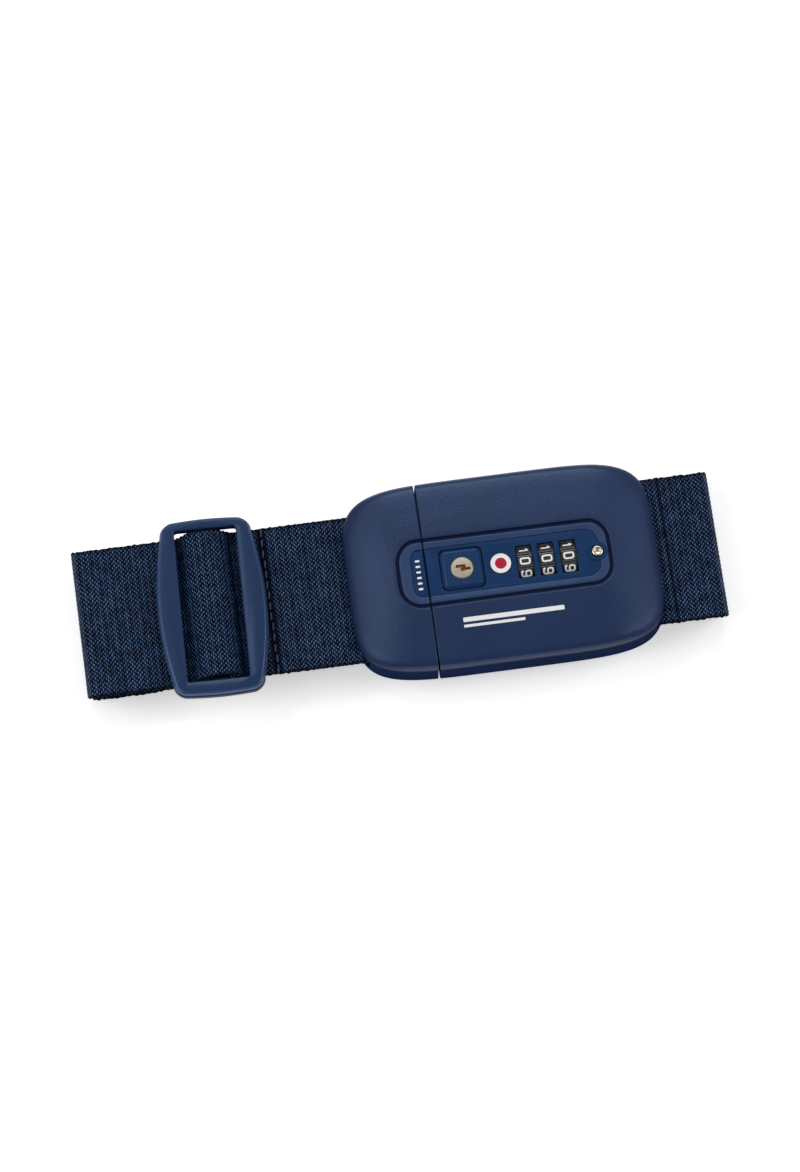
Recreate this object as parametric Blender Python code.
"""Luggage strap: 50 mm webbing, a two-piece combination-lock buckle and a
three-bar slider.  Blender 4.5, metres, +Z up.

Frame: X runs along the strap (lock half towards +X), Y across it, Z up.
The origin is the middle of the underside of the folded webbing, z = 0.

The strap lies as it is stored: the front run with the slider and the closed
buckle is on top, and the rest of the webbing is folded to and fro under it.
"""
import bpy
import bmesh
import math
from mathutils import Vector, Matrix

for o in list(bpy.data.objects):
    bpy.data.objects.remove(o, do_unlink=True)

MM = 0.001

# ------------------------------------------------------------ driving sizes, mm
WEB_W = 50.0            # webbing width
WEB_T = 1.3             # webbing thickness
HALF_L = 104.6          # half the length of the folded strap
PITCH = 1.45            # layer pitch in the folded pack
LAYERS = 7              # layers in the pack under the front run
LEAN = 0.325            # sideways lean of the pack, mm of Y per mm of depth
GAP = 0.3               # clearance between touching pieces

BUCKLE_X = 33.7         # buckle centre along the strap
BUCKLE_A = 50.3         # half length of the buckle
BUCKLE_B = 31.4         # half width of the buckle
BUCKLE_N = 4.8          # squareness of the outline
BUCKLE_H = 15.8         # height of the buckle's crown
WALL = 2.0              # shell wall
SEAM = -25.0            # seam between the halves, from the buckle centre
PART_Z = 4.4            # parting height between top and back covers
CAVITY_TOP = 12.6       # ceiling of the hollow

BAR_X = 38.5            # webbing bars, from the buckle centre
BAR_Z = 6.3
BAR_R = 2.0
BAR_L = 51.4
SLOT_Y = 25.7           # half width of the webbing slots
WHEEL_R = 6.8
WHEEL_W = 5.0
WHEEL_PITCH = 7.1
WHEEL_X0 = 7.1          # first wheel, from the buckle centre
SHAFT_Z = 9.3
SHAFT_R = 1.2
BUTTON_X = -13.4
BUTTON_W = 13.6
BUTTON_TRAVEL = 1.6
PIN_X = 30.7
TONGUE_Z0, TONGUE_Z1 = 6.0, 7.5
TONGUE_TRAVEL = 24.0

SLIDER_X = -61.3        # slider centre along the strap
SLIDER_W = 35.5         # slider width at its middle
SLIDER_WE = 28.3        # slider width at its ends
SLIDER_L = 59.4         # slider length across the strap
SLIDER_T = 5.0
WINDOW_W = 20.1
WINDOW_L = 51.4
CBAR_W = 5.0            # slider centre bar
CBAR_T = 2.4

PACK_TOP = WEB_T / 2 + (LAYERS - 1) * PITCH + WEB_T / 2      # 10.0
BUCKLE_Z = PACK_TOP + GAP                                    # underside of buckle
RUN_Z = BUCKLE_Z + BAR_Z + 0.75                              # upper webbing level
LOW_Z = BUCKLE_Z + BAR_Z - 0.75                              # lower webbing level
SLIDER_Z = RUN_Z + WEB_T / 2 + 0.25                          # underside of slider
CBAR_Z = SLIDER_Z + 1.3                                      # axis of centre bar


def B(x, y, z):
    """A point in the buckle's own frame, as a point of the whole object, mm."""
    return (x + BUCKLE_X, y, z + BUCKLE_Z)


# ------------------------------------------------------------------- materials
def material(name, rgb, rough, metal=0.0):
    m = bpy.data.materials.new(name)
    m.use_nodes = True
    p = m.node_tree.nodes["Principled BSDF"]
    p.inputs["Base Color"].default_value = (*rgb, 1.0)
    p.inputs["Roughness"].default_value = rough
    p.inputs["Metallic"].default_value = metal
    m.diffuse_color = (*rgb, 1.0)
    return m


NAVY = (0.035, 0.065, 0.16)
NAVY_DARK = (0.02, 0.05, 0.12)
WEB = (0.02, 0.05, 0.11)
BLACK = (0.012, 0.012, 0.014)
STEEL = (0.55, 0.56, 0.58)
ZINC = (0.45, 0.46, 0.47)
NICKEL = (0.72, 0.68, 0.58)
BRASS = (0.62, 0.47, 0.2)
RED = (0.6, 0.02, 0.06)

# --------------------------------------------------------------------- helpers
WORLD = {}


def empty(name, at, parent=None):
    e = bpy.data.objects.new(name, None)
    e.empty_display_size = 0.004
    bpy.context.scene.collection.objects.link(e)
    WORLD[e.name] = Vector(at)
    if parent:
        e.parent = parent
        e.location = (Vector(at) - WORLD[parent.name]) * MM
    else:
        e.location = Vector(at) * MM
    return e


def make(name, verts, faces, mat=None, origin=(0, 0, 0), parent=None, smooth=False):
    """Object from points in mm; its own origin is at `origin`."""
    o0 = Vector(origin)
    me = bpy.data.meshes.new(name)
    me.from_pydata([(Vector(v) - o0) * MM for v in verts], [], faces)
    me.validate()
    bm = bmesh.new()
    bm.from_mesh(me)
    bmesh.ops.recalc_face_normals(bm, faces=bm.faces)
    bm.to_mesh(me)
    bm.free()
    ob = bpy.data.objects.new(name, me)
    bpy.context.scene.collection.objects.link(ob)
    WORLD[ob.name] = o0
    if parent:
        ob.parent = parent
        ob.location = (o0 - WORLD[parent.name]) * MM
    else:
        ob.location = o0 * MM
    if mat:
        me.materials.append(mat)
    if smooth:
        me.shade_smooth()
        me.set_sharp_from_angle(angle=math.radians(35))
    return ob


def cutter(ob):
    ob.hide_render = True
    ob.display_type = 'WIRE'
    return ob


def boolean(ob, other, op='DIFFERENCE'):
    m = ob.modifiers.new(op.title() + "_" + other.name, 'BOOLEAN')
    m.operation = op
    m.object = other
    m.solver = 'EXACT'
    cutter(other)
    return m


def bevel(ob, width, segments=2, angle=35):
    m = ob.modifiers.new("Bevel", 'BEVEL')
    m.width = width * MM
    m.segments = segments
    m.limit_method = 'ANGLE'
    m.angle_limit = math.radians(angle)
    return m


def box(name, lo, hi, mat=None, origin=None, parent=None):
    (x0, y0, z0), (x1, y1, z1) = lo, hi
    v = [(x0, y0, z0), (x1, y0, z0), (x1, y1, z0), (x0, y1, z0),
         (x0, y0, z1), (x1, y0, z1), (x1, y1, z1), (x0, y1, z1)]
    f = [(0, 3, 2, 1), (4, 5, 6, 7), (0, 1, 5, 4), (1, 2, 6, 5), (2, 3, 7, 6), (3, 0, 4, 7)]
    c = origin or tuple((a + b) / 2 for a, b in zip(lo, hi))
    return make(name, v, f, mat, c, parent)


def prism(name, outline, z0, z1, mat=None, origin=None, parent=None, smooth=False):
    """A closed outline (x, y) pulled from z0 to z1."""
    n = len(outline)
    v = [(x, y, z0) for x, y in outline] + [(x, y, z1) for x, y in outline]
    f = [tuple(range(n - 1, -1, -1)), tuple(range(n, 2 * n))]
    f += [(i, (i + 1) % n, n + (i + 1) % n, n + i) for i in range(n)]
    if origin is None:
        origin = (sum(p[0] for p in outline) / n, sum(p[1] for p in outline) / n, (z0 + z1) / 2)
    return make(name, v, f, mat, origin, parent, smooth)


def turned(name, profile, centre, axis='Z', seg=24, mat=None, parent=None, origin=None):
    """A solid of revolution: profile is a list of (radius, height) from bottom
    to top along the axis.  Radius 0 closes the ends on the axis; otherwise the
    profile is a closed loop and the solid is a ring."""
    solid = profile[0][0] == 0 and profile[-1][0] == 0
    pts = profile[1:-1] if solid else profile
    v, f = [], []

    def place(r, a, h):
        c, s = r * math.cos(a), r * math.sin(a)
        if axis == 'Z':
            p = (c, s, h)
        elif axis == 'X':
            p = (h, c, s)
        else:
            p = (s, h, c)
        return tuple(p[i] + centre[i] for i in range(3))

    for r, h in pts:
        v += [place(r, 2 * math.pi * k / seg, h) for k in range(seg)]
    m = len(pts)
    for j in range(m - 1 if solid else m):
        a, b = j * seg, ((j + 1) % m) * seg
        f += [(a + k, a + (k + 1) % seg, b + (k + 1) % seg, b + k) for k in range(seg)]
    if solid:
        f.append(tuple(range(seg - 1, -1, -1)))
        f.append(tuple((m - 1) * seg + k for k in range(seg)))
    return make(name, v, f, mat, origin or centre, parent, smooth=True)


def rod(name, r, centre, length, axis='Z', seg=20, mat=None, parent=None, chamfer=0.0, origin=None):
    h = length / 2
    c = chamfer
    prof = [(0, -h), (r - c, -h)] + ([(r, -h + c), (r, h - c)] if c else []) + [(r - c, h), (0, h)]
    return turned(name, prof, centre, axis, seg, mat, parent, origin)


def rounded(w, l, r, n=5, cx=0.0, cy=0.0):
    """Rounded rectangle outline w by l about (cx, cy)."""
    out = []
    for sx, sy, a0 in ((1, 1, 0), (-1, 1, 90), (-1, -1, 180), (1, -1, 270)):
        for k in range(n + 1):
            a = math.radians(a0 + 90 * k / n)
            out.append((cx + sx * (w / 2 - r) + r * math.cos(a), cy + sy * (l / 2 - r) + r * math.sin(a)))
    return out


def spring(name, centre, r, wire, z0, z1, turns, mat, parent, seg=9, sides=4):
    """A coil spring standing along Z, a swept wire with closed ends."""
    n = int(turns * seg)
    path = []
    for k in range(n + 1):
        a = 2 * math.pi * k / seg
        z = z0 + wire + (z1 - z0 - 2 * wire) * k / n
        path.append(Vector((centre[0] + r * math.cos(a), centre[1] + r * math.sin(a), z)))
    v, f = [], []
    for k, p in enumerate(path):
        t = (path[min(k + 1, n)] - path[max(k - 1, 0)]).normalized()
        out = Vector((p.x - centre[0], p.y - centre[1], 0)).normalized()
        up = t.cross(out).normalized()
        v += [tuple(p + wire * (math.cos(2 * math.pi * s / sides) * out + math.sin(2 * math.pi * s / sides) * up))
              for s in range(sides)]
    for k in range(n):
        a, b = k * sides, (k + 1) * sides
        f += [(a + s, a + (s + 1) % sides, b + (s + 1) % sides, b + s) for s in range(sides)]
    f.append(tuple(range(sides - 1, -1, -1)))
    f.append(tuple(n * sides + s for s in range(sides)))
    return make(name, v, f, mat, (centre[0], centre[1], z0), parent, smooth=True)


def ribbon(name, path, t, mat, parent=None, origin=None, y_shift=None, half=None):
    """Flat webbing along a path of (x, z) points, t thick and WEB_W wide."""
    half = half or WEB_W / 2
    n = len(path)
    P = [Vector((p[0], p[1])) for p in path]
    N = []
    for i in range(n):
        a = (P[i] - P[i - 1]).normalized() if i else None
        b = (P[i + 1] - P[i]).normalized() if i < n - 1 else None
        if a is None:
            a = b
        if b is None:
            b = a
        m = (a + b).normalized()
        nn = Vector((-m.y, m.x))
        N.append(nn / max(0.5, m.dot(a)))
    v = []
    for i in range(n):
        dy = y_shift(P[i].x, P[i].y) if y_shift else 0.0
        up, lo = P[i] + N[i] * t / 2, P[i] - N[i] * t / 2
        v += [(up.x, half + dy, up.y), (up.x, -half + dy, up.y), (lo.x, -half + dy, lo.y), (lo.x, half + dy, lo.y)]
    f = [(0, 1, 2, 3), (4 * n - 1, 4 * n - 2, 4 * n - 3, 4 * n - 4)]
    for i in range(n - 1):
        a, b = 4 * i, 4 * i + 4
        f += [(a + k, b + k, b + (k + 1) % 4, a + (k + 1) % 4) for k in range(4)]
    o = origin or (P[0].x, 0, P[0].y)
    return make(name, v, f, mat, o, parent, smooth=True)


def arc(cx, cz, r, a0, a1, n):
    return [(cx + r * math.cos(math.radians(a0 + (a1 - a0) * k / n)),
             cz + r * math.sin(math.radians(a0 + (a1 - a0) * k / n))) for k in range(n + 1)]


# ------------------------------------------------------------- joint empties
ROOT = empty("buckle_frame", B(0, 0, 0))
TONGUE = empty("tongue_slide", B(SEAM, 0, BAR_Z))
TILT_AXIS = (SLIDER_X - SLIDER_W / 2, 0, SLIDER_Z)
SLIDER = empty("slider_tilt", TILT_AXIS, TONGUE)
BUTTON = empty("button_slide", B(BUTTON_X, 0, BUCKLE_H), ROOT)
PLUG = empty("key_axis", B(BUTTON_X, 0, BUCKLE_H), BUTTON)
LATCH = empty("latch_slide", B(BUTTON_X, 0, 5.0), ROOT)
CODEBAR = empty("code_bar_slide", B(10, 9, 9), ROOT)
PIN = empty("reset_pin_slide", B(PIN_X, 0, BUCKLE_H), ROOT)


# ----------------------------------------------------------- buckle shell form
RINGS = [(0.0, 1.5), (0.45, 0.45), (1.5, 0.0), (4.1, 0.0), (11.4, 0.35), (13.0, 1.05),
         (14.2, 2.7), (14.9, 6.5), (15.45, 13.0), (BUCKLE_H, 22.0)]


def half_outline(x0, side, inset, n=40):
    """Superellipse outline of one half of the buckle, cut straight at x0.
    side +1 is the lock half (x > x0), -1 the tongue half (x < x0)."""
    a, b = BUCKLE_A - inset, BUCKLE_B - inset

    def y_at(x):
        return b * max(0.0, 1 - abs(x / a) ** BUCKLE_N) ** (1 / BUCKLE_N)

    e = 2.0 / BUCKLE_N
    c0 = max(-1.0, min(1.0, math.copysign(abs(x0 / a) ** (1 / e), x0)))
    t0 = math.acos(c0)                 # parameter where the outline meets x0
    ts = []
    if side > 0:
        ts = [t0 - 2 * t0 * k / n for k in range(n + 1)]
    else:
        ts = [t0 + (2 * math.pi - 2 * t0) * k / n for k in range(n + 1)]
    out = []
    for t in ts:
        c, s = math.cos(t), math.sin(t)
        out.append((math.copysign(abs(c) ** e * a, c), math.copysign(abs(s) ** e * b, s)))
    out[0] = (x0, y_at(x0))
    out[-1] = (x0, -y_at(x0))
    if side > 0:
        out.reverse()                  # counter-clockwise seen from above
    return out


def loft(name, x0, side, rings, mat=None, parent=None, origin=None):
    loops = [[B(x, y, z) for x, y in half_outline(x0, side, d)] for z, d in rings]
    n = len(loops[0])
    v = [p for lp in loops for p in lp]
    f = [tuple(range(n - 1, -1, -1)), tuple((len(loops) - 1) * n + i for i in range(n))]
    for j in range(len(loops) - 1):
        a, b = j * n, (j + 1) * n
        f += [(a + i, a + (i + 1) % n, b + (i + 1) % n, b + i) for i in range(n)]
    return make(name, v, f, mat, origin or B(x0, 0, 0), parent, smooth=True)


def rings_between(z0, z1, extra=0.0):
    """The shell's rings cut to a height range, inset further by `extra`."""
    def inset(z):
        for (za, da), (zb, db) in zip(RINGS, RINGS[1:]):
            if za <= z <= zb:
                return da + (db - da) * (z - za) / (zb - za)
        return RINGS[-1][1]
    zs = [z0] + [z for z, _ in RINGS if z0 + 0.05 < z < z1 - 0.05] + [z1]
    return [(z, inset(z) + extra) for z in zs]


m_navy = material("navy_plastic", NAVY, 0.42)
m_back = material("navy_plastic_back", NAVY, 0.5)
m_fascia = material("navy_fascia", NAVY_DARK, 0.3)
m_web = material("navy_webbing", WEB, 0.8)

LOCK_X0 = SEAM + 0.25
TONG_X0 = SEAM - 0.25


def cavity(name, x0, side, z0, parent):
    rings = [(z0, WALL), (10.6, WALL + 0.3), (CAVITY_TOP, WALL + 1.6)]
    return loft(name, x0 + side * WALL, side, rings, parent=parent)


def add_posts(cover, spots, parent, tag):
    for i, (x, y) in enumerate(spots):
        post = rod(f"cut_post_{tag}_{i}", 2.5, B(x, y, (2.1 + CAVITY_TOP + 0.6) / 2), CAVITY_TOP + 0.6 - 2.1,
                   seg=14, parent=parent)
        boolean(cover, post, 'UNION')
        hole = rod(f"cut_posthole_{tag}_{i}", 1.3, B(x, y, 5.5), 8.0, seg=12, parent=parent)
        boolean(cover, hole)


def back_cover(name, x0, side, spots, parent, tag):
    ob = loft(name, x0, side, rings_between(0.0, PART_Z - GAP), m_back, parent)
    inner = loft(f"cut_back_{tag}", x0 + side * WALL, side, [(1.8, WALL), (PART_Z + 1, WALL)], parent=parent)
    boolean(ob, inner)
    for i, (x, y) in enumerate(spots):
        seat = turned(f"cut_seat_{tag}_{i}", [(0, -0.5), (2.4, -0.5), (2.4, 1.2), (1.3, 1.2), (1.3, 2.6), (0, 2.6)],
                      B(x, y, 0.0), seg=16, parent=parent)
        boolean(ob, seat)
    return ob


def screw(name, x, y, parent):
    """Countersunk cover screw with a cross recess, driven from the back."""
    ob = turned(name, [(0, 0.25), (1.9, 0.25), (2.1, 0.5), (2.1, 1.0), (1.0, 1.0), (1.0, 8.6), (0.6, 9.2), (0, 9.2)],
                B(x, y, 0.0), seg=14, mat=material("screw_steel", STEEL, 0.35, 1.0), parent=parent)
    for k, (dx, dy) in enumerate(((1.3, 0.25), (0.25, 1.3))):
        boolean(ob, box(f"cut_{name}_{k}", B(x - dx, y - dy, 0.0), B(x + dx, y + dy, 0.7), parent=parent))
    return ob


LOCK_SPOTS = [(-19.0, 24.5), (-19.0, -24.5), (30.0, 25.3), (30.0, -25.3)]
TONG_SPOTS = [(-30.6, 24.8), (-30.6, -24.8)]

# ------------------------------------------------------------------- lock half
FASCIA_X1 = 31.3
BOSS_R = 3.1            # raised ring of the panel round the reset pin
FASCIA_Y = 8.0
FASCIA_TOP = 15.3
FASCIA_BOT = 14.1

top = loft("lock_top_cover", LOCK_X0, 1, rings_between(PART_Z, BUCKLE_H), m_navy, ROOT)
boolean(top, cavity("cut_lock_cavity", LOCK_X0, 1, PART_Z - 1.0, ROOT))
add_posts(top, LOCK_SPOTS, ROOT, "lock")


def fascia_outline(grow):
    """Panel outline: square at the seam, rounded at the pin end."""
    x1, hy, r = FASCIA_X1 + grow, FASCIA_Y + grow, 4.5 + grow
    pts = [(LOCK_X0 - (2.0 if grow > 0 else -0.05), -hy)]
    pts += [(x1 - r + r * math.cos(math.radians(a)), -hy + r + r * math.sin(math.radians(a))) for a in range(-90, 1, 18)]
    pts += [(x1 - r + r * math.cos(math.radians(a)), hy - r + r * math.sin(math.radians(a))) for a in range(0, 91, 18)]
    pts.append((LOCK_X0 - (2.0 if grow > 0 else -0.05), hy))
    return [(x + BUCKLE_X, y) for x, y in pts]


boolean(top, prism("cut_fascia_pocket", fascia_outline(0.3), BUCKLE_Z + FASCIA_BOT - 0.3, BUCKLE_Z + 17.5, parent=ROOT))
boolean(top, rod("cut_boss_pocket", BOSS_R + 0.3, B(PIN_X, 0, (FASCIA_BOT - 0.3 + 17.5) / 2), 17.8 - FASCIA_BOT, seg=28, parent=ROOT))
WHEELS = [WHEEL_X0 + i * WHEEL_PITCH for i in range(3)]
boolean(top, prism("cut_button_hole", rounded(BUTTON_W + 1.0, BUTTON_W + 1.0, 1.9, 4, BUTTON_X + BUCKLE_X), BUCKLE_Z + 11.5,
                   BUCKLE_Z + 15, parent=ROOT))
boolean(top, box("cut_wheel_well", B(WHEELS[0] - 3.1, -6.6, 11.5), B(WHEELS[2] + 3.1, 6.6, 15.0), parent=ROOT))
boolean(top, rod("cut_pin_hole", 2.1, B(PIN_X, 0, 13.4), 4.0, seg=18, parent=ROOT))
# webbing slot in the end wall, and the openings for the tongue in the seam wall
boolean(top, box("cut_lock_slot", B(40, -SLOT_Y, PART_Z - 1), B(56, SLOT_Y, 8.4), parent=ROOT))
boolean(top, box("cut_tongue_mouth", B(SEAM - 1, -8.4, 5.6), B(SEAM + 4, 8.4, 7.9), parent=ROOT))
for s in (1, -1):
    boolean(top, box(f"cut_prong_mouth_{s}", B(SEAM - 1, s * 18 - 2.4, 5.6), B(SEAM + 4, s * 18 + 2.4, 7.9), parent=ROOT))

back_cover("lock_back_cover", LOCK_X0, 1, LOCK_SPOTS, ROOT, "lock")
for i, (x, y) in enumerate(LOCK_SPOTS):
    screw(f"lock_cover_screw_{i + 1}", x, y, ROOT)

fascia = prism("lock_fascia", fascia_outline(-0.0), BUCKLE_Z + FASCIA_BOT, BUCKLE_Z + FASCIA_TOP, m_fascia,
               origin=B(0, 0, FASCIA_TOP), parent=ROOT, smooth=False)
boolean(fascia, prism("cut_fascia_button", rounded(BUTTON_W + 0.8, BUTTON_W + 0.8, 1.9, 4, BUTTON_X + BUCKLE_X),
                      BUCKLE_Z + 13, BUCKLE_Z + 17, parent=ROOT))
for i, x in enumerate(WHEELS):
    boolean(fascia, box(f"cut_window_{i}", B(x - 2.8, -5.9, 13), B(x + 2.8, 5.9, 17), parent=ROOT))
boolean(fascia, rod("cut_boss", BOSS_R, B(PIN_X, 0, (FASCIA_BOT + FASCIA_TOP + 0.3) / 2), FASCIA_TOP + 0.3 - FASCIA_BOT, seg=28,
                    parent=ROOT), 'UNION')
boolean(fascia, rod("cut_fascia_pin", 2.1, B(PIN_X, 0, 14.7), 4.0, seg=18, parent=ROOT))
BADGE_X = -0.8
boolean(fascia, rod("cut_badge_seat", 3.6, B(BADGE_X, 0, 15.3), 1.6, seg=24, parent=ROOT))
turned("badge_inlay", [(0, -0.5), (3.2, -0.5), (3.3, 0.0), (3.1, 0.35), (0, 0.45)], B(BADGE_X, 0, 15.3), seg=24,
       mat=material("badge_red", RED, 0.3), parent=ROOT)

# chassis: plate with two upright lugs for the shaft
m_zinc = material("zinc_casting", ZINC, 0.45, 1.0)
frame = box("lock_frame", B(-9.6, -14.0, 2.1), B(33.4, 14.0, 3.3), m_zinc, parent=ROOT)
for i, x in enumerate((2.6, 26.2)):
    boolean(frame, box(f"cut_lug_{i}", B(x - 0.8, -4.0, 2.4), B(x + 0.8, 4.0, 11.9), parent=ROOT), 'UNION')
boolean(frame, box("cut_frame_window", B(4.2, -7.6, 0.5), B(24.4, 7.6, 4.0), parent=ROOT))
boolean(frame, rod("cut_shaft_hole", SHAFT_R + 0.3, B(14, 0, SHAFT_Z), 40.0, axis='X', seg=16, parent=ROOT))

m_steel = material("steel", STEEL, 0.3, 1.0)
rod("dial_shaft", SHAFT_R, B(14.4, 0, SHAFT_Z), 26.4, axis='X', seg=16, mat=m_steel, parent=ROOT, chamfer=0.2)

# detent spring: a leaf beside the wheels, standing on the frame, one finger for each wheel
m_leaf = material("spring_steel", STEEL, 0.25, 1.0)
leaf = box("dial_detent_spring", B(3.0, -9.6, 3.6), B(25.6, -9.1, 9.0), m_leaf, parent=ROOT)
for i, x in enumerate(WHEELS[:2]):
    boolean(leaf, box(f"cut_leaf_{i}", B(x + WHEEL_PITCH / 2 - 0.8, -11, 5.2), B(x + WHEEL_PITCH / 2 + 0.8, -8, 10), parent=ROOT))
boolean(leaf, box("cut_leaf_foot", B(3.0, -12.4, 3.6), B(25.6, -9.3, 4.1), parent=ROOT), 'UNION')

rod("right_webbing_bar", BAR_R, B(BAR_X, 0, BAR_Z), BAR_L, axis='Y', seg=18, mat=m_steel, parent=ROOT, chamfer=0.3)

spring("reset_spring", B(PIN_X, 0, 0), 1.75, 0.25, BUCKLE_Z + 3.6, BUCKLE_Z + 11.0, 5, m_leaf, ROOT)
for i, s in enumerate((1, -1)):
    spring(f"button_spring_{i + 1}", B(BUTTON_X, s * 13.0, 0), 1.6, 0.28, BUCKLE_Z + 2.1, BUCKLE_Z + 10.1, 5, m_leaf, ROOT)

# --------------------------------------------------------- number wheels
m_black = material("black_plastic", BLACK, 0.4)
m_brass = material("brass", BRASS, 0.35, 1.0)


def wheel_outline(n_arc=2):
    """Ten faces with a shallow groove between neighbours, as (radius, angle)."""
    pts = []
    for k in range(10):
        a0 = math.radians(36 * k - 18)
        pts.append((WHEEL_R - 0.55, a0))
        for j in range(n_arc + 1):
            pts.append((WHEEL_R, a0 + math.radians(4.5 + 27.0 * j / n_arc)))
    return pts


for i, x in enumerate(WHEELS):
    c = B(x, 0, SHAFT_Z)
    axis = empty(f"wheel_axis_{i + 1}", c, ROOT)
    ol = wheel_outline()
    n = len(ol)
    v, h = [], WHEEL_W / 2
    for sx, cr in ((-h, -0.25), (-h + 0.25, 0.0), (h - 0.25, 0.0), (h, -0.25)):
        v += [(c[0] + sx, c[1] + (r + cr) * math.sin(a), c[2] + (r + cr) * math.cos(a)) for r, a in ol]
    bore = 3.3
    for sx in (h, -h):
        v += [(c[0] + sx, c[1] + bore * math.sin(a), c[2] + bore * math.cos(a)) for _, a in ol]
    f = []
    for j in range(6):
        a, b = j * n, ((j + 1) % 6) * n
        f += [(a + k, a + (k + 1) % n, b + (k + 1) % n, b + k) for k in range(n)]
    make(f"number_wheel_{i + 1}", v, f, m_black, c, axis, smooth=True)
    sl = turned(f"dial_sleeve_{i + 1}", [(1.5, -3.2), (3.0, -3.2), (3.0, 3.2), (1.5, 3.2)], c, axis='X', seg=20,
                mat=m_brass, parent=axis)
    boolean(sl, box(f"cut_gate_{i}", (c[0] - 3.6, c[1] + 2.3, c[2] - 1.0), (c[0] - 2.5, c[1] + 4.0, c[2] + 1.0), parent=axis))

# code bar: three fingers reach the sleeves' gates between the wheels
bar = box("code_bar", B(-9.0, 9.0, 8.7), B(25.4, 10.6, 10.1), m_steel, parent=CODEBAR)
for i, x in enumerate(WHEELS):
    boolean(bar, box(f"cut_finger_{i}", B(x - 3.3, 3.4, 8.9), B(x - 2.85, 9.6, 9.9), parent=CODEBAR), 'UNION')

# --------------------------------------------------------- button and cylinder
m_button = material("navy_button", NAVY_DARK, 0.35)
btn = prism("release_button", rounded(BUTTON_W, BUTTON_W, 1.7, 4, BUTTON_X + BUCKLE_X), BUCKLE_Z + 11.2, BUCKLE_Z + 16.2,
            m_button, origin=B(BUTTON_X, 0, 16.2), parent=BUTTON)
bevel(btn, 0.45, 2, 60)
boolean(btn, box("cut_flange", B(BUTTON_X - 4.4, -15.0, 10.4), B(BUTTON_X + 4.4, 15.0, 11.8), parent=BUTTON), 'UNION')
boolean(btn, rod("cut_barrel_bore", 4.2, B(BUTTON_X, 0, 13), 10.0, seg=24, parent=BUTTON))
m_nickel = material("satin_nickel", NICKEL, 0.4, 1.0)
turned("cylinder_barrel", [(3.1, -5.1), (3.9, -5.1), (3.9, 0.05), (3.75, 0.2), (3.1, 0.2)], B(BUTTON_X, 0, 16.1), seg=28,
       mat=m_nickel, parent=BUTTON)
plug = turned("key_plug", [(0, -5.3), (2.8, -5.3), (2.8, 0.05), (2.65, 0.2), (0, 0.2)], B(BUTTON_X, 0, 16.1), seg=24,
              mat=m_nickel, parent=PLUG)
for k, (x0, y0, x1, y1) in enumerate(((-1.9, -0.1, 0.5, 0.65), (-0.35, -0.65, 1.9, 0.1))):
    boolean(plug, box(f"cut_keyway_{k}", B(BUTTON_X + x0, y0, 12.5), B(BUTTON_X + x1, y1, 17.0), parent=PLUG))
cam = rod("key_cam", 2.0, B(BUTTON_X, 0, 10.2), 0.7, seg=18, mat=m_brass, parent=PLUG)
boolean(cam, box("cut_cam_arm", B(BUTTON_X - 0.9, 0.5, 9.9), B(BUTTON_X + 0.9, 3.6, 10.5), parent=PLUG), 'UNION')

# latch: a yoke under the tongue, a hook through its window, two posts to the button
latch = box("latch_bolt", B(BUTTON_X - 2.6, -10.4, 3.7), B(BUTTON_X + 2.6, 10.4, 4.9), m_zinc, parent=LATCH)
boolean(latch, box("cut_hook", B(-13.9, -3.0, 4.4), B(-12.5, 3.0, 7.3), parent=LATCH), 'UNION')
for s in (1, -1):
    y0, y1 = sorted((s * 8.7, s * 10.4))
    boolean(latch, box(f"cut_post_latch_{s}", B(BUTTON_X - 1.6, y0, 4.2), B(BUTTON_X + 1.6, y1, 10.1), parent=LATCH), 'UNION')

# reset pin with its flange
turned("reset_pin", [(0, 5.0), (1.2, 5.0), (1.2, 11.3), (2.6, 11.3), (2.6, 12.2), (1.8, 12.2), (1.8, 15.6), (1.5, 16.0), (0, 16.0)],
       B(PIN_X, 0, 0), seg=20, mat=m_brass, parent=PIN)

# ----------------------------------------------------------------- tongue half
ttop = loft("tongue_top_cover", TONG_X0, -1, rings_between(PART_Z, BUCKLE_H), m_navy, TONGUE)
boolean(ttop, cavity("cut_tongue_cavity", TONG_X0, -1, PART_Z - 1.0, TONGUE))
add_posts(ttop, TONG_SPOTS, TONGUE, "tongue")
PAD_X0 = -29.6
pad_o = [(TONG_X0, -FASCIA_Y)] + [(PAD_X0 + 3 + 3 * math.cos(math.radians(a)), -FASCIA_Y + 3 + 3 * math.sin(math.radians(a)))
                                   for a in range(270, 179, -18)]
pad_o += [(PAD_X0 + 3 + 3 * math.cos(math.radians(a)), FASCIA_Y - 3 + 3 * math.sin(math.radians(a))) for a in range(180, 89, -18)]
pad_o += [(TONG_X0, FASCIA_Y)]
pad_c = (TONG_X0 - 2, 0)
pad_cut = [(pad_c[0] + (x - pad_c[0]) * 1.17 + (1.5 if x > TONG_X0 - 0.01 else 0), y * 1.045) for x, y in pad_o]
boolean(ttop, prism("cut_pad_seat", [(x + BUCKLE_X, y) for x, y in pad_cut], BUCKLE_Z + 14.2, BUCKLE_Z + 17, parent=TONGUE))
prism("tongue_pad", [(x + BUCKLE_X - (0.05 if x > TONG_X0 - 0.01 else 0), y) for x, y in pad_o], BUCKLE_Z + 14.5, BUCKLE_Z + FASCIA_TOP,
      m_fascia, parent=TONGUE)
boolean(ttop, box("cut_tongue_slot", B(-56, -SLOT_Y, PART_Z - 1), B(-40, SLOT_Y, 8.4), parent=TONGUE))
boolean(ttop, box("cut_plate_mouth", B(SEAM - 4, -21.9, 5.6), B(SEAM + 1, 21.9, 7.9), parent=TONGUE))

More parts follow.
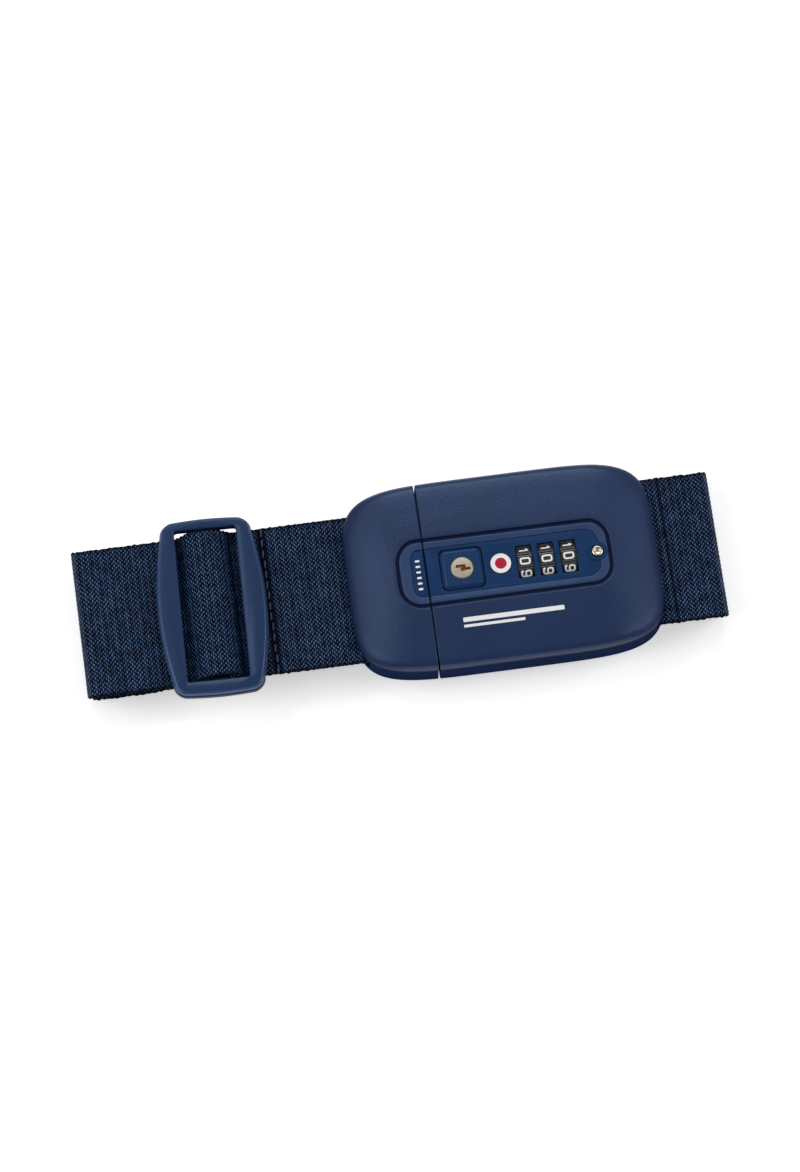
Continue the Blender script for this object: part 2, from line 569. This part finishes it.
back_cover("tongue_back_cover", TONG_X0, -1, TONG_SPOTS, TONGUE, "tongue")
for i, (x, y) in enumerate(TONG_SPOTS):
    screw(f"tongue_cover_screw_{i + 1}", x, y, TONGUE)
rod("left_webbing_bar", BAR_R, B(-BAR_X, 0, BAR_Z), BAR_L, axis='Y', seg=18, mat=m_steel, parent=TONGUE, chamfer=0.3)

# tongue plate: root plate, window tongue, two guide prongs
prof = [(-34.0, -21.5), (-25.6, -21.5), (-25.6, -20.0), (-16.5, -20.0), (-15.5, -19.0), (-15.5, -17.0), (-16.5, -16.0), (-25.6, -16.0),
        (-25.6, -8.0), (-12.0, -8.0), (-10.3, -6.6), (-10.3, 6.6), (-12.0, 8.0), (-25.6, 8.0), (-25.6, 16.0), (-16.5, 16.0), (-15.5, 17.0),
        (-15.5, 19.0), (-16.5, 20.0), (-25.6, 20.0), (-25.6, 21.5), (-34.0, 21.5)]
plate = prism("tongue_plate", [(x + BUCKLE_X, y) for x, y in prof], BUCKLE_Z + TONGUE_Z0, BUCKLE_Z + TONGUE_Z1, m_steel,
              origin=B(SEAM, 0, (TONGUE_Z0 + TONGUE_Z1) / 2), parent=TONGUE)
boolean(plate, box("cut_catch_window", B(-17.5, -4.2, 5), B(-12.2, 4.2, 9), parent=TONGUE))

# --------------------------------------------------------------------- slider
m_slider = material("navy_slider", NAVY, 0.35)


def slider_outline(w_mid, w_end, length, r, n=8):
    """Frame outline with bowed long sides, counter-clockwise."""
    out = []
    hl = length / 2
    for sx, sy, a0 in ((1, 1, 0), (-1, 1, 90), (-1, -1, 180), (1, -1, 270)):
        corner = [(sx * (w_end / 2 - r) + r * math.cos(math.radians(a0 + 90 * k / 4)),
                   sy * (hl - r) + r * math.sin(math.radians(a0 + 90 * k / 4))) for k in range(5)]
        out += corner
        if a0 in (90, 270):        # bowed side that follows this corner
            ys = [sy * (hl - r) * (1 - 2 * k / n) for k in range(1, n)]
            out += [(sx * (w_end / 2 + (w_mid - w_end) / 2 * (1 - (y / (hl - r)) ** 2)), y) for y in ys]
    return out


so = slider_outline(SLIDER_W, SLIDER_WE, SLIDER_L, 4.5)
sframe = prism("slider_frame", [(x + SLIDER_X, y) for x, y in so], SLIDER_Z, SLIDER_Z + SLIDER_T, m_slider,
               origin=TILT_AXIS, parent=SLIDER)
bevel(sframe, 0.6, 1, 50)
boolean(sframe, prism("cut_slider_window", rounded(WINDOW_W, WINDOW_L, 0.8, 2, SLIDER_X), SLIDER_Z - 1, SLIDER_Z + SLIDER_T + 1,
                      parent=SLIDER))
boolean(sframe, box("cut_centre_bar", (SLIDER_X - CBAR_W / 2, -WINDOW_L / 2 - 1.0, CBAR_Z - CBAR_T / 2),
                    (SLIDER_X + CBAR_W / 2, WINDOW_L / 2 + 1.0, CBAR_Z + CBAR_T / 2), parent=SLIDER), 'UNION')

# -------------------------------------------------------------------- webbing
R1 = CBAR_T / 2 + 0.75 + WEB_T / 2   # sewn loop, middle of the webbing, about the bar
STEP = WEB_T + 0.25                  # from one layer to the next
R2 = R1 + STEP                       # threaded webbing above the loop
XL = SLIDER_X - SLIDER_W / 2         # left edge of the slider
XR = SLIDER_X + SLIDER_W / 2
BELOW1 = RUN_Z - STEP                # second level under the slider's left bar
BELOW2 = BELOW1 - STEP               # third level


def offset(path, d):
    """The same path moved sideways by d, to the left of its direction."""
    P = [Vector(p) for p in path]
    out = []
    for i, p in enumerate(P):
        a = (P[i] - P[i - 1]).normalized() if i else (P[1] - P[0]).normalized()
        b = (P[i + 1] - P[i]).normalized() if i < len(P) - 1 else a
        m = (a + b).normalized()
        out.append(tuple(p + Vector((-m.y, m.x)) * d / max(0.5, m.dot(a))))
    return out


# threaded webbing: under the right bar, over the centre bar, under the left bar
rise = [(SLIDER_X + 9.4, RUN_Z), (SLIDER_X + 8.0, RUN_Z + 0.7), (SLIDER_X + 4.9, CBAR_Z + R2 - 1.4),
        (SLIDER_X + 3.2, CBAR_Z + R2 - 0.4), (SLIDER_X + 1.4, CBAR_Z + R2)]
fall = [(2 * SLIDER_X - x, z) for x, z in reversed(rise)]
ribbon("threaded_webbing", [(XR - 0.2, RUN_Z)] + rise + fall + [(XL + 0.3, RUN_Z)], WEB_T, m_web, SLIDER)

# sewn loop of the long webbing round the centre bar, both legs to the left
e = CBAR_W / 2 - CBAR_T / 2
loop_path = list(reversed(offset([(SLIDER_X + 1.4, CBAR_Z + R2)] + fall + [(XL + 0.3, RUN_Z)], STEP)[1:]))
loop_path += arc(SLIDER_X + e, CBAR_Z, R1, 90, -90, 8)
loop_path += [(SLIDER_X - e - 1.0, CBAR_Z - R1), (SLIDER_X - 9.5, BELOW2), (XL + 0.3, BELOW2)]
ribbon("sewn_strap_loop", loop_path, WEB_T, m_web, SLIDER)

# short webbing: from the slider to the tongue bar, round it and back, sewn end below
XB = BUCKLE_X - BAR_X
ZB = BUCKLE_Z + BAR_Z
RB = BAR_R + GAP + WEB_T / 2
short = [(XR + 0.1, RUN_Z), (XB - 4.4, RUN_Z), (XB - 2.2, ZB + RB * 0.82)]
short += arc(XB, ZB, RB, 90, -90, 8) + [(XB - 2.2, ZB - RB * 0.82), (XB - 4.4, LOW_Z), (XR + 1.2, LOW_Z)]
ribbon("short_webbing", short, WEB_T, m_web, TONGUE)

# left run: free tail above, long webbing below, bent down at the fold
END_R = 3.2
tail = [(XL, RUN_Z), (-HALF_L + END_R + WEB_T / 2, RUN_Z)] + \
       arc(-HALF_L + END_R + WEB_T / 2, RUN_Z - END_R, END_R, 90, 180, 4)[1:] + [(-HALF_L + WEB_T / 2, PACK_TOP + 0.35)]
ribbon("webbing_tail", tail, WEB_T, m_web, TONGUE)
low = [(XL, (BELOW1 + BELOW2) / 2), (-HALF_L + 5.6, (BELOW1 + BELOW2) / 2)] + \
      arc(-HALF_L + 5.6, (BELOW1 + BELOW2) / 2 - 2.4, 2.4, 90, 180, 4)[1:] + [(-HALF_L + 3.2, PACK_TOP + 0.35)]
ribbon("main_webbing_left", low, WEB_T * 2 + 0.15, m_web, TONGUE)

# right run: sewn round the lock bar, out to the fold at the right end
XB2 = BUCKLE_X + BAR_X
right = [(HALF_L - WEB_T / 2, PACK_TOP + 0.35)] + arc(HALF_L - WEB_T / 2 - END_R, RUN_Z - END_R, END_R, 0, 90, 4) + \
        [(XB2 + 4.4, RUN_Z), (XB2 + 2.2, ZB + RB * 0.82)] + arc(XB2, ZB, RB, 90, 270, 8) + \
        [(XB2 + 2.2, ZB - RB * 0.82), (XB2 + 4.4, LOW_Z), (BUCKLE_X + 62.0, LOW_Z)]
ribbon("main_webbing_right", right, WEB_T, m_web, ROOT)

# folded pack: plain closed solid of the layers under the front run, leaning
# sideways with depth so that its edges stay in line with the front run's
n_end = 6
zc, rz = PACK_TOP / 2, PACK_TOP / 2
outline = [(HALF_L - rz * 0.6 + rz * 0.6 * math.cos(math.radians(a)), zc + rz * math.sin(math.radians(a)))
           for a in [-90 + 180 * k / n_end for k in range(n_end + 1)]]
outline += [(-x, z) for x, z in reversed(outline)]
v, f = [], []
for s in (-1, 1):
    v += [(x, s * WEB_W / 2 + (RUN_Z - z) * LEAN, z) for x, z in outline]
n = len(outline)
f = [tuple(range(n)), tuple(range(2 * n - 1, n - 1, -1))]
f += [(i, n + i, n + (i + 1) % n, (i + 1) % n) for i in range(n)]
make("folded_webbing_pack", v, f, m_web, (0, 0, 0), ROOT)
